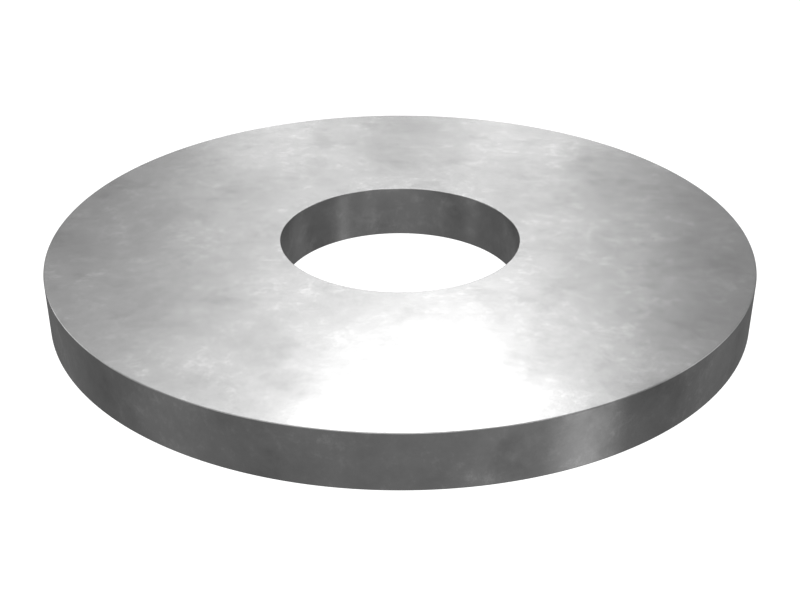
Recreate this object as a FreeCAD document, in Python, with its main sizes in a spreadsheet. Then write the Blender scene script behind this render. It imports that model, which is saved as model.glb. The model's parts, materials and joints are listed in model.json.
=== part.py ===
"""Plain flat washer for a 5/16 inch bolt: a disc blanked from steel sheet and pierced for the bolt.

Frame: +Z up along the hole's axis, with the origin at the hole's centre on the lower bearing face.
"""

import FreeCAD, Part
import math
import os
import Sketcher

NODE = "flat_washer"
PARTS_FOLDER = "parts"

# Driving dimensions, in millimetres. The washer is sized in whole fractions of an inch.
DIMENSIONS = {
    "outer_diameter": 25.4,  # 1 inch
    "hole_diameter": 8.73125,  # 11/32 inch: a 5/16 inch bolt and 1/32 inch of clearance
    "thickness": 1.984375,  # 5/64 inch
    "edge_radius": 0.03,  # edges tumbled until they are just off sharp
}

# How far a volume may be from the one worked out by hand, as a share of it.
VOLUME_TOLERANCE = 1e-6

# Sketcher's numbers for a circle's centre, and for the sketch's own origin.
CIRCLE_CENTRE = 3
SKETCH_ORIGIN = (-1, 1)


def make_sheet(document):
    """The spreadsheet of driving dimensions, with one named cell for each."""
    sheet = document.addObject("Spreadsheet::Sheet", "dimensions")
    for row, (name, millimetres) in enumerate(DIMENSIONS.items(), start=1):
        sheet.set(f"A{row}", name)
        sheet.set(f"B{row}", str(millimetres))
        sheet.setAlias(f"B{row}", name)
    document.recompute()
    return sheet


def circle_on_lower_face(body, name, diameter):
    """A circle round the origin, on the lower bearing face, as wide as the named cell says."""
    planes = body.Origin.OriginFeatures
    lower_face = next(plane for plane in planes if plane.Role == "XY_Plane")
    sketch = body.newObject("Sketcher::SketchObject", name)
    sketch.AttachmentSupport = [(lower_face, "")]
    sketch.MapMode = "FlatFace"
    axis = FreeCAD.Vector(0, 0, 1)
    circle = sketch.addGeometry(Part.Circle(FreeCAD.Vector(), axis, DIMENSIONS[diameter] / 2))
    sketch.addConstraint(Sketcher.Constraint("Coincident", circle, CIRCLE_CENTRE, *SKETCH_ORIGIN))
    size = sketch.addConstraint(Sketcher.Constraint("Diameter", circle, DIMENSIONS[diameter]))
    sketch.setExpression(f"Constraints[{size}]", f"dimensions.{diameter}")
    return sketch


def blank_disc(body):
    """The solid disc that the press cuts from the sheet."""
    disc = body.newObject("PartDesign::Pad", "blanked_disc")
    disc.Profile = circle_on_lower_face(body, "outer_circle", "outer_diameter")
    disc.setExpression("Length", "dimensions.thickness")
    return disc


def pierce_hole(body):
    """The bolt's hole, punched up through the disc from its lower face."""
    hole = body.newObject("PartDesign::Pocket", "bolt_hole")
    hole.Profile = circle_on_lower_face(body, "hole_circle", "hole_diameter")
    hole.Type = "ThroughAll"
    hole.Reversed = True
    return hole


def tumble_edges(body, ring):
    """The small rounding that tumbling leaves on the ring's four circular edges."""
    edges = enumerate(ring.Shape.Edges, start=1)
    circular = [f"Edge{number}" for number, edge in edges if isinstance(edge.Curve, Part.Circle)]
    rounding = body.newObject("PartDesign::Fillet", "tumbled_edges")
    rounding.Base = (ring, circular)
    rounding.setExpression("Radius", "dimensions.edge_radius")
    return rounding


def ring_volume(sheet):
    """The volume of the ring with sharp edges."""
    section_widths = sheet.outer_diameter**2 - sheet.hole_diameter**2
    return math.pi / 4 * section_widths * sheet.thickness


def tumbled_volume(sheet):
    """The volume that the four roundings take away, by Pappus's theorem."""
    edge_radius = sheet.edge_radius
    corner_area = edge_radius**2 * (1 - math.pi / 4)
    corner_inset = edge_radius * (10 - 3 * math.pi) / (12 - 3 * math.pi)
    outer_path = math.pi * (sheet.outer_diameter - 2 * corner_inset)
    hole_path = math.pi * (sheet.hole_diameter + 2 * corner_inset)
    return 2 * corner_area * (outer_path + hole_path)


def check_volume(name, shape, expected):
    """Stop if a shape's volume isn't the one expected, as when a cut has missed the solid."""
    if not math.isclose(shape.Volume, expected, rel_tol=VOLUME_TOLERANCE):
        raise SystemExit(f"{name}: volume {shape.Volume:.4f} mm3, expected {expected:.4f} mm3")
    print(f"{name}: {shape.Volume:.4f} mm3")


def check_document(document):
    """Stop if any object of the document failed to build."""
    for item in document.Objects:
        failures = {"Invalid", "Error"} & set(item.State)
        if failures:
            raise SystemExit(f"{item.Name}: {', '.join(sorted(failures))}")


def main():
    document = FreeCAD.newDocument("washer")
    sheet = make_sheet(document)

    washer = document.addObject("PartDesign::Body", NODE)
    washer.Label = NODE
    washer.Placement = FreeCAD.Placement()
    blank_disc(washer)
    ring = pierce_hole(washer)
    document.recompute()
    check_volume("pierced ring", ring.Shape, ring_volume(sheet))

    tumble_edges(washer, ring)
    document.recompute()
    check_document(document)
    check_volume(NODE, washer.Shape, ring_volume(sheet) - tumbled_volume(sheet))
    if washer.Shape.isNull() or not washer.Shape.isValid() or len(washer.Shape.Solids) != 1:
        raise SystemExit(f"{NODE}: the shape isn't one valid solid")

    os.makedirs(PARTS_FOLDER, exist_ok=True)
    washer.Shape.exportStep(f"{PARTS_FOLDER}/{washer.Label}.step")
    box = washer.Shape.optimalBoundingBox()
    print(f"{washer.Label}: {box.XLength:.3f} x {box.YLength:.3f} x {box.ZLength:.3f} mm")


main()
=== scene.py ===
"""Flat washer: a finely turned mesh round the CAD frame, its zinc-plated finish and a soft studio.

Everything is in metres, in the CAD frame: +Z up, with the origin on the lower face at the hole's centre.
"""

import bpy
import json
import math
from mathutils import Euler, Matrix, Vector, noise


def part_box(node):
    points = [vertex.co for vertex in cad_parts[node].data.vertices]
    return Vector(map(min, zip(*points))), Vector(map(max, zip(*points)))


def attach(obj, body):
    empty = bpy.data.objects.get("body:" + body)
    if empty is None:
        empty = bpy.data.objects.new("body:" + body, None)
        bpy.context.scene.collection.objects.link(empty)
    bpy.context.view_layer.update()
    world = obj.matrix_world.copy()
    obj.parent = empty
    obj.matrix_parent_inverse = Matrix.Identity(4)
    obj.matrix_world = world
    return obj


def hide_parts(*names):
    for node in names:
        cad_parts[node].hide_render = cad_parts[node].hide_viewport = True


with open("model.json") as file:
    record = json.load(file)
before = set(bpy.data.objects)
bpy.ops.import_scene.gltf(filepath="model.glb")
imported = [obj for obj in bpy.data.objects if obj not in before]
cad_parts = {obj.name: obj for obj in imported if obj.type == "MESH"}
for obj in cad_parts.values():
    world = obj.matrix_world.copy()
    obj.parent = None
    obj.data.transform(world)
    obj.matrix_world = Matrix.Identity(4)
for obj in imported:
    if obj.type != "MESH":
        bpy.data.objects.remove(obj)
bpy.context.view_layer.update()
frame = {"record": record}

MM = 0.001
NODE = "flat_washer"

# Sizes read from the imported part. The bore mount is the hole's straight wall, without its roundings.
LOWEST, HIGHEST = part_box(NODE)
OUTER_RADIUS = HIGHEST.x
THICKNESS = HIGHEST.z - LOWEST.z
HOLE = next(mount for mount in frame["record"]["mounts"] if mount["name"] == "bolt_hole")
HOLE_RADIUS = HOLE["dims"]["r_mm"] * MM
EDGE_RADIUS = (THICKNESS - HOLE["dims"]["length_mm"] * MM) / 2

# How finely the washer is turned. The holding loops beside the roundings keep the flats' shading flat.
SEGMENTS = 512
EDGE_STEPS = 5
LOOP_SPACING = 0.26 * MM
HOLDING_LOOP = 0.01 * MM

# The faint roll of rolled sheet, cut inwards so that the washer never grows.
ROLL_DEPTH = 0.005 * MM
ROLL_WAVELENGTH = 3.2 * MM
ROLL_FADE = 0.8 * MM


def quarter_arc(centre_radius, centre_height, start_degrees):
    """The rounding of one edge, in the section's plane."""
    angles = [math.radians(start_degrees + 90 * step / EDGE_STEPS) for step in range(EDGE_STEPS + 1)]
    return [
        (centre_radius + EDGE_RADIUS * math.cos(angle), centre_height + EDGE_RADIUS * math.sin(angle))
        for angle in angles
    ]


def straight_run(start, end):
    """Points between two roundings: one holding loop beside each, and an even row between them."""
    length = math.dist(start, end)
    spaces = math.ceil(length / LOOP_SPACING)
    row = [HOLDING_LOOP / length]
    row += [space / spaces for space in range(1, spaces)]
    row += [1 - HOLDING_LOOP / length]
    return [tuple(a + (b - a) * share for a, b in zip(start, end)) for share in row]


def section():
    """The washer's cross-section as (radius, height) points, once round, starting at the lower face."""
    outer, inner = OUTER_RADIUS - EDGE_RADIUS, HOLE_RADIUS + EDGE_RADIUS
    lower, upper = EDGE_RADIUS, THICKNESS - EDGE_RADIUS
    arcs = [
        quarter_arc(outer, lower, -90),
        quarter_arc(outer, upper, 0),
        quarter_arc(inner, upper, 90),
        quarter_arc(inner, lower, 180),
    ]
    points = []
    for arc, following in zip(arcs, arcs[1:] + arcs[:1]):
        points += arc + straight_run(arc[-1], following[0])
    return points


def rolled(point):
    """Sinks a point of either face by the sheet's faint roll, which fades out towards the edges."""
    radius = point.xy.length
    from_edge = min(OUTER_RADIUS - radius, radius - HOLE_RADIUS)
    fade = min(max(from_edge / ROLL_FADE, 0), 1)
    depth = ROLL_DEPTH * fade * (1 + noise.noise(point / ROLL_WAVELENGTH)) / 2
    inwards = 1 if point.z < THICKNESS / 2 else -1
    return point + Vector((0, 0, inwards * depth))


def turned_washer():
    """The washer as one closed mesh, its section carried round the hole's axis."""
    outline = section()
    points = []
    for segment in range(SEGMENTS):
        angle = math.tau * segment / SEGMENTS
        around = Vector((math.cos(angle), math.sin(angle), 0))
        for radius, height in outline:
            points.append(rolled(around * radius + Vector((0, 0, height))))
    count = len(outline)
    faces = []
    for segment in range(SEGMENTS):
        here, there = segment * count, (segment + 1) % SEGMENTS * count
        for step in range(count):
            following = (step + 1) % count
            faces.append((here + step, there + step, there + following, here + following))
    mesh = bpy.data.meshes.new("turned_washer")
    mesh.from_pydata(points, [], faces)
    mesh.shade_smooth()
    mesh.validate()
    washer = bpy.data.objects.new("turned_washer", mesh)
    bpy.context.scene.collection.objects.link(washer)
    return washer


def add_node(tree, kind, inputs=None, **settings):
    """A shader node with its settings and inputs. An input that is a socket is linked, not copied."""
    node = tree.nodes.new(kind)
    for name, value in settings.items():
        setattr(node, name, value)
    for name, value in (inputs or {}).items():
        if isinstance(value, bpy.types.NodeSocket):
            tree.links.new(value, node.inputs[name])
        else:
            node.inputs[name].default_value = value
    return node


def math_node(tree, operation, first, second):
    """The result of one sum or product of two values."""
    return add_node(tree, "ShaderNodeMath", {0: first, 1: second}, operation=operation).outputs[0]


def remap(tree, value, from_low, from_high, to_low, to_high, curve="LINEAR"):
    """The value carried from one range to another, and held at its ends."""
    inputs = {
        "Value": value,
        "From Min": from_low,
        "From Max": from_high,
        "To Min": to_low,
        "To Max": to_high,
    }
    return add_node(tree, "ShaderNodeMapRange", inputs, interpolation_type=curve).outputs[0]


def fractal_noise(tree, size, detail, roughness, shift):
    """Noise over the object whose largest blobs are about size across. The shift keeps two noises apart."""
    where = add_node(tree, "ShaderNodeTexCoord").outputs["Object"]
    apart = add_node(tree, "ShaderNodeVectorMath", {0: where, 1: Vector(shift) * MM}, operation="ADD")
    inputs = {"Vector": apart.outputs[0], "Scale": 1 / size, "Detail": detail, "Roughness": roughness}
    return add_node(tree, "ShaderNodeTexNoise", inputs).outputs[0]


# The plating's three noises, and the range that most of their values lie in.
CLOUDS = {"size": 2.8 * MM, "detail": 8, "roughness": 0.6, "shift": (0, 0, 0)}
CRUMBS = {"size": 0.6 * MM, "detail": 10, "roughness": 0.78, "shift": (31, 7, 3)}
SMUDGES = {"size": 1.9 * MM, "detail": 4, "roughness": 0.55, "shift": (-11, 17, 5)}
NOISE_RANGE = (0.3, 0.7)

# Curds are the lightest crumbs in the lighter clouds, and only the lowest of the smudges' noise darkens.
CURDLED_CLOUDS = (0.36, 0.64)
CURDLED_CRUMBS = (0.52, 0.8)
SMUDGED = (0.26, 0.48)

# How far each lightens or darkens the plating, as a share of its mean grey, and how far they may together.
MEAN_GREY = 0.62
CLOUD_SWING = 0.126
CRUMB_SWING = 0.037
CURD_LIFT = 0.44
SMUDGE_DROP = 0.137
MOTTLE_LIMIT = 0.42

# The sheared walls take the plating less evenly than the rolled faces, by this much.
WALL_GAIN = 1.35

# The lighter the plating, the smoother it is. The crumbs also stand up from it.
ROUGHEST, SMOOTHEST = 0.24, 0.20
RELIEF = 0.002 * MM


def zinc_plating():
    """Satin zinc plating on steel: cloudy from the bath, with lighter curds and darker smudges in it."""
    material = bpy.data.materials.new("zinc_plated_steel")
    material.use_nodes = True
    tree = material.node_tree
    shader = tree.nodes["Principled BSDF"]
    shader.inputs["Metallic"].default_value = 1.0

    clouds = fractal_noise(tree, **CLOUDS)
    crumbs = fractal_noise(tree, **CRUMBS)
    smudges = fractal_noise(tree, **SMUDGES)
    curdled = remap(tree, clouds, *CURDLED_CLOUDS, 0.0, 1.0, "SMOOTHSTEP")
    curds = remap(tree, crumbs, *CURDLED_CRUMBS, 0.0, CURD_LIFT)
    mottle = math_node(tree, "MULTIPLY", curdled, curds)
    for mark in (
        remap(tree, clouds, *NOISE_RANGE, -CLOUD_SWING, CLOUD_SWING),
        remap(tree, crumbs, *NOISE_RANGE, -CRUMB_SWING, CRUMB_SWING),
        remap(tree, smudges, *SMUDGED, -SMUDGE_DROP, 0.0, "SMOOTHSTEP"),
    ):
        mottle = math_node(tree, "ADD", mottle, mark)

    # Levelness is 1 on both faces and 0 on both walls.
    normal = add_node(tree, "ShaderNodeTexCoord").outputs["Normal"]
    upright = add_node(tree, "ShaderNodeSeparateXYZ", {"Vector": normal}).outputs["Z"]
    levelness = math_node(tree, "MULTIPLY", upright, upright)
    gain = remap(tree, levelness, 0.0, 1.0, WALL_GAIN, 1.0)
    mottle = math_node(tree, "MULTIPLY", mottle, gain)

    limits = (-MOTTLE_LIMIT, MOTTLE_LIMIT)
    darkest, lightest = (MEAN_GREY * (1 + share) for share in limits)
    grey = remap(tree, mottle, *limits, darkest, lightest)
    colour = add_node(tree, "ShaderNodeCombineColor", {"Red": grey, "Green": grey, "Blue": grey}).outputs[0]
    tree.links.new(colour, shader.inputs["Base Color"])
    tree.links.new(remap(tree, mottle, *limits, ROUGHEST, SMOOTHEST), shader.inputs["Roughness"])
    relief = add_node(tree, "ShaderNodeBump", {"Height": crumbs, "Strength": 1.0, "Distance": RELIEF})
    tree.links.new(relief.outputs[0], shader.inputs["Normal"])
    return material


# What the camera sees of the floor and the surround. It is more than 1, so that it shows as pure white.
WHITE = 1.2

# The studio, as an observer on the washer sees it: a dome above the horizon, a darker half below it, and
# how many degrees above and below the horizon they blend over.
DOME = 0.25
BELOW_FLOOR = 0.14
HORIZON_BLUR = 12

# The softboxes. Azimuth is clockwise from +Y, elevation is above the floor, and spread is how far from
# its middle a light fades out, all in degrees. The strengths add to the surround's.

# These are behind the washer. Its upper face mirrors them to the camera, the higher ones nearer the front.
FACE_LIGHTS = [
    # azimuth, elevation, spread, strength
    (0, 32, 16, 0.7),
    (2, 38, 9, 2.8),
    (-6, 15, 6, 1.9),
    (6, 15, 6, 1.9),
    (-20, 40, 16, 0.45),
    (15, 18, 11, 0.12),
]
# These are below the floor, which only the camera sees. They give the walls their lighter bands.
WALL_LIGHTS = [
    (180, -34, 55, 0.05),
    (120, -34, 11, 0.45),
    (145, -34, 16, 0.07),
    (-105, -34, 15, 0.07),
    (-50, -30, 15, 0.02),
    (60, -30, 15, 0.03),
]
# These are for the view from above and from the other sides. From the front they show only on the rims.
OTHER_SIDES_LIGHTS = [
    (0, 90, 40, 0.6),
    (-55, 26, 22, 0.35),
    (-41, 32, 11, 1.3),
    (-52, 19, 9, 0.5),
    (-90, 7, 24, 0.5),
    (-130, 30, 24, 0.6),
    (180, 34, 24, 0.4),
    (173, 31, 11, 1.2),
    (184, 18, 9, 0.5),
    (178, 5, 22, 0.6),
    (132, 20, 22, 0.35),
    (141, 22, 10, 1.3),
    (129, 10, 8, 0.5),
    (90, 5, 22, 0.55),
    (60, 34, 24, 0.6),
]


def direction(azimuth, elevation):
    """The unit vector towards a place in the studio."""
    turn, rise = math.radians(azimuth), math.radians(elevation)
    return Vector((math.sin(turn) * math.cos(rise), math.cos(turn) * math.cos(rise), math.sin(rise)))


def studio():
    """A soft surround with a few softboxes in it. The camera sees plain white in its place."""
    world = bpy.data.worlds.new("studio")
    bpy.context.scene.world = world
    world.use_nodes = True
    tree = world.node_tree
    looking = add_node(tree, "ShaderNodeTexCoord").outputs["Generated"]
    height = add_node(tree, "ShaderNodeSeparateXYZ", {"Vector": looking}).outputs["Z"]
    blur = math.sin(math.radians(HORIZON_BLUR))
    light = remap(tree, height, -blur, blur, BELOW_FLOOR, DOME, "SMOOTHSTEP")
    for azimuth, elevation, spread, strength in FACE_LIGHTS + WALL_LIGHTS + OTHER_SIDES_LIGHTS:
        towards = direction(azimuth, elevation)
        nearness = add_node(tree, "ShaderNodeVectorMath", {0: looking, 1: towards}, operation="DOT_PRODUCT")
        rim = math.cos(math.radians(spread))
        glow = remap(tree, nearness.outputs["Value"], rim, 1.0, 0.0, strength, "SMOOTHSTEP")
        light = math_node(tree, "ADD", light, glow)
    seen = add_node(tree, "ShaderNodeLightPath").outputs["Is Camera Ray"]
    shown = add_node(tree, "ShaderNodeMix", {"Factor": seen, "A": light, "B": WHITE}).outputs[0]
    tree.links.new(shown, tree.nodes["Background"].inputs["Strength"])
    tree.nodes["Background"].inputs["Color"].default_value = (1, 1, 1, 1)


# From the middle of the floor to its sides.
FLOOR_REACH = 1.0


def white_floor():
    """A plain white floor that only the camera sees, so that it throws no light up at the walls."""
    near, far = -FLOOR_REACH, FLOOR_REACH
    corners = [(near, near, 0), (far, near, 0), (far, far, 0), (near, far, 0)]
    mesh = bpy.data.meshes.new("floor")
    mesh.from_pydata(corners, [], [(0, 1, 2, 3)])
    floor = bpy.data.objects.new("floor", mesh)
    bpy.context.scene.collection.objects.link(floor)
    floor.visible_diffuse = False
    floor.visible_glossy = False
    floor.visible_shadow = False
    material = bpy.data.materials.new("white_floor")
    material.use_nodes = True
    tree = material.node_tree
    tree.nodes.clear()
    glow = add_node(tree, "ShaderNodeEmission", {"Color": (1, 1, 1, 1), "Strength": WHITE})
    output = add_node(tree, "ShaderNodeOutputMaterial")
    tree.links.new(glow.outputs[0], output.inputs["Surface"])
    # Only the camera sees the floor, so it isn't sampled as a lamp.
    material.cycles.emission_sampling = "NONE"
    mesh.materials.append(material)


# The camera: its place in outer radii from the middle of the upper face, how many degrees it looks down,
# its lens and sensor in millimetres, and the nearest and farthest that it sees, in metres.
CAMERA_BACK = 3.2837
CAMERA_UP = 1.5721
CAMERA_PITCH = 28.497
CAMERA_LENS = 56.66
SENSOR_WIDTH = 36
NEAREST, FARTHEST = 1 * MM, 10.0


def camera():
    """The camera in front of the washer, level from side to side."""
    data = bpy.data.cameras.new("camera")
    data.lens = CAMERA_LENS
    data.sensor_width = SENSOR_WIDTH
    data.clip_start = NEAREST
    data.clip_end = FARTHEST
    eye = bpy.data.objects.new("camera", data)
    eye.location = (0, -CAMERA_BACK * OUTER_RADIUS, THICKNESS + CAMERA_UP * OUTER_RADIUS)
    eye.rotation_euler = Euler((math.radians(90 - CAMERA_PITCH), 0, 0))
    bpy.context.scene.collection.objects.link(eye)
    bpy.context.scene.camera = eye


washer = turned_washer()
washer.data.materials.append(zinc_plating())
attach(washer, "root")
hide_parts(NODE)
white_floor()
studio()
camera()
bpy.context.scene.view_settings.view_transform = "Standard"
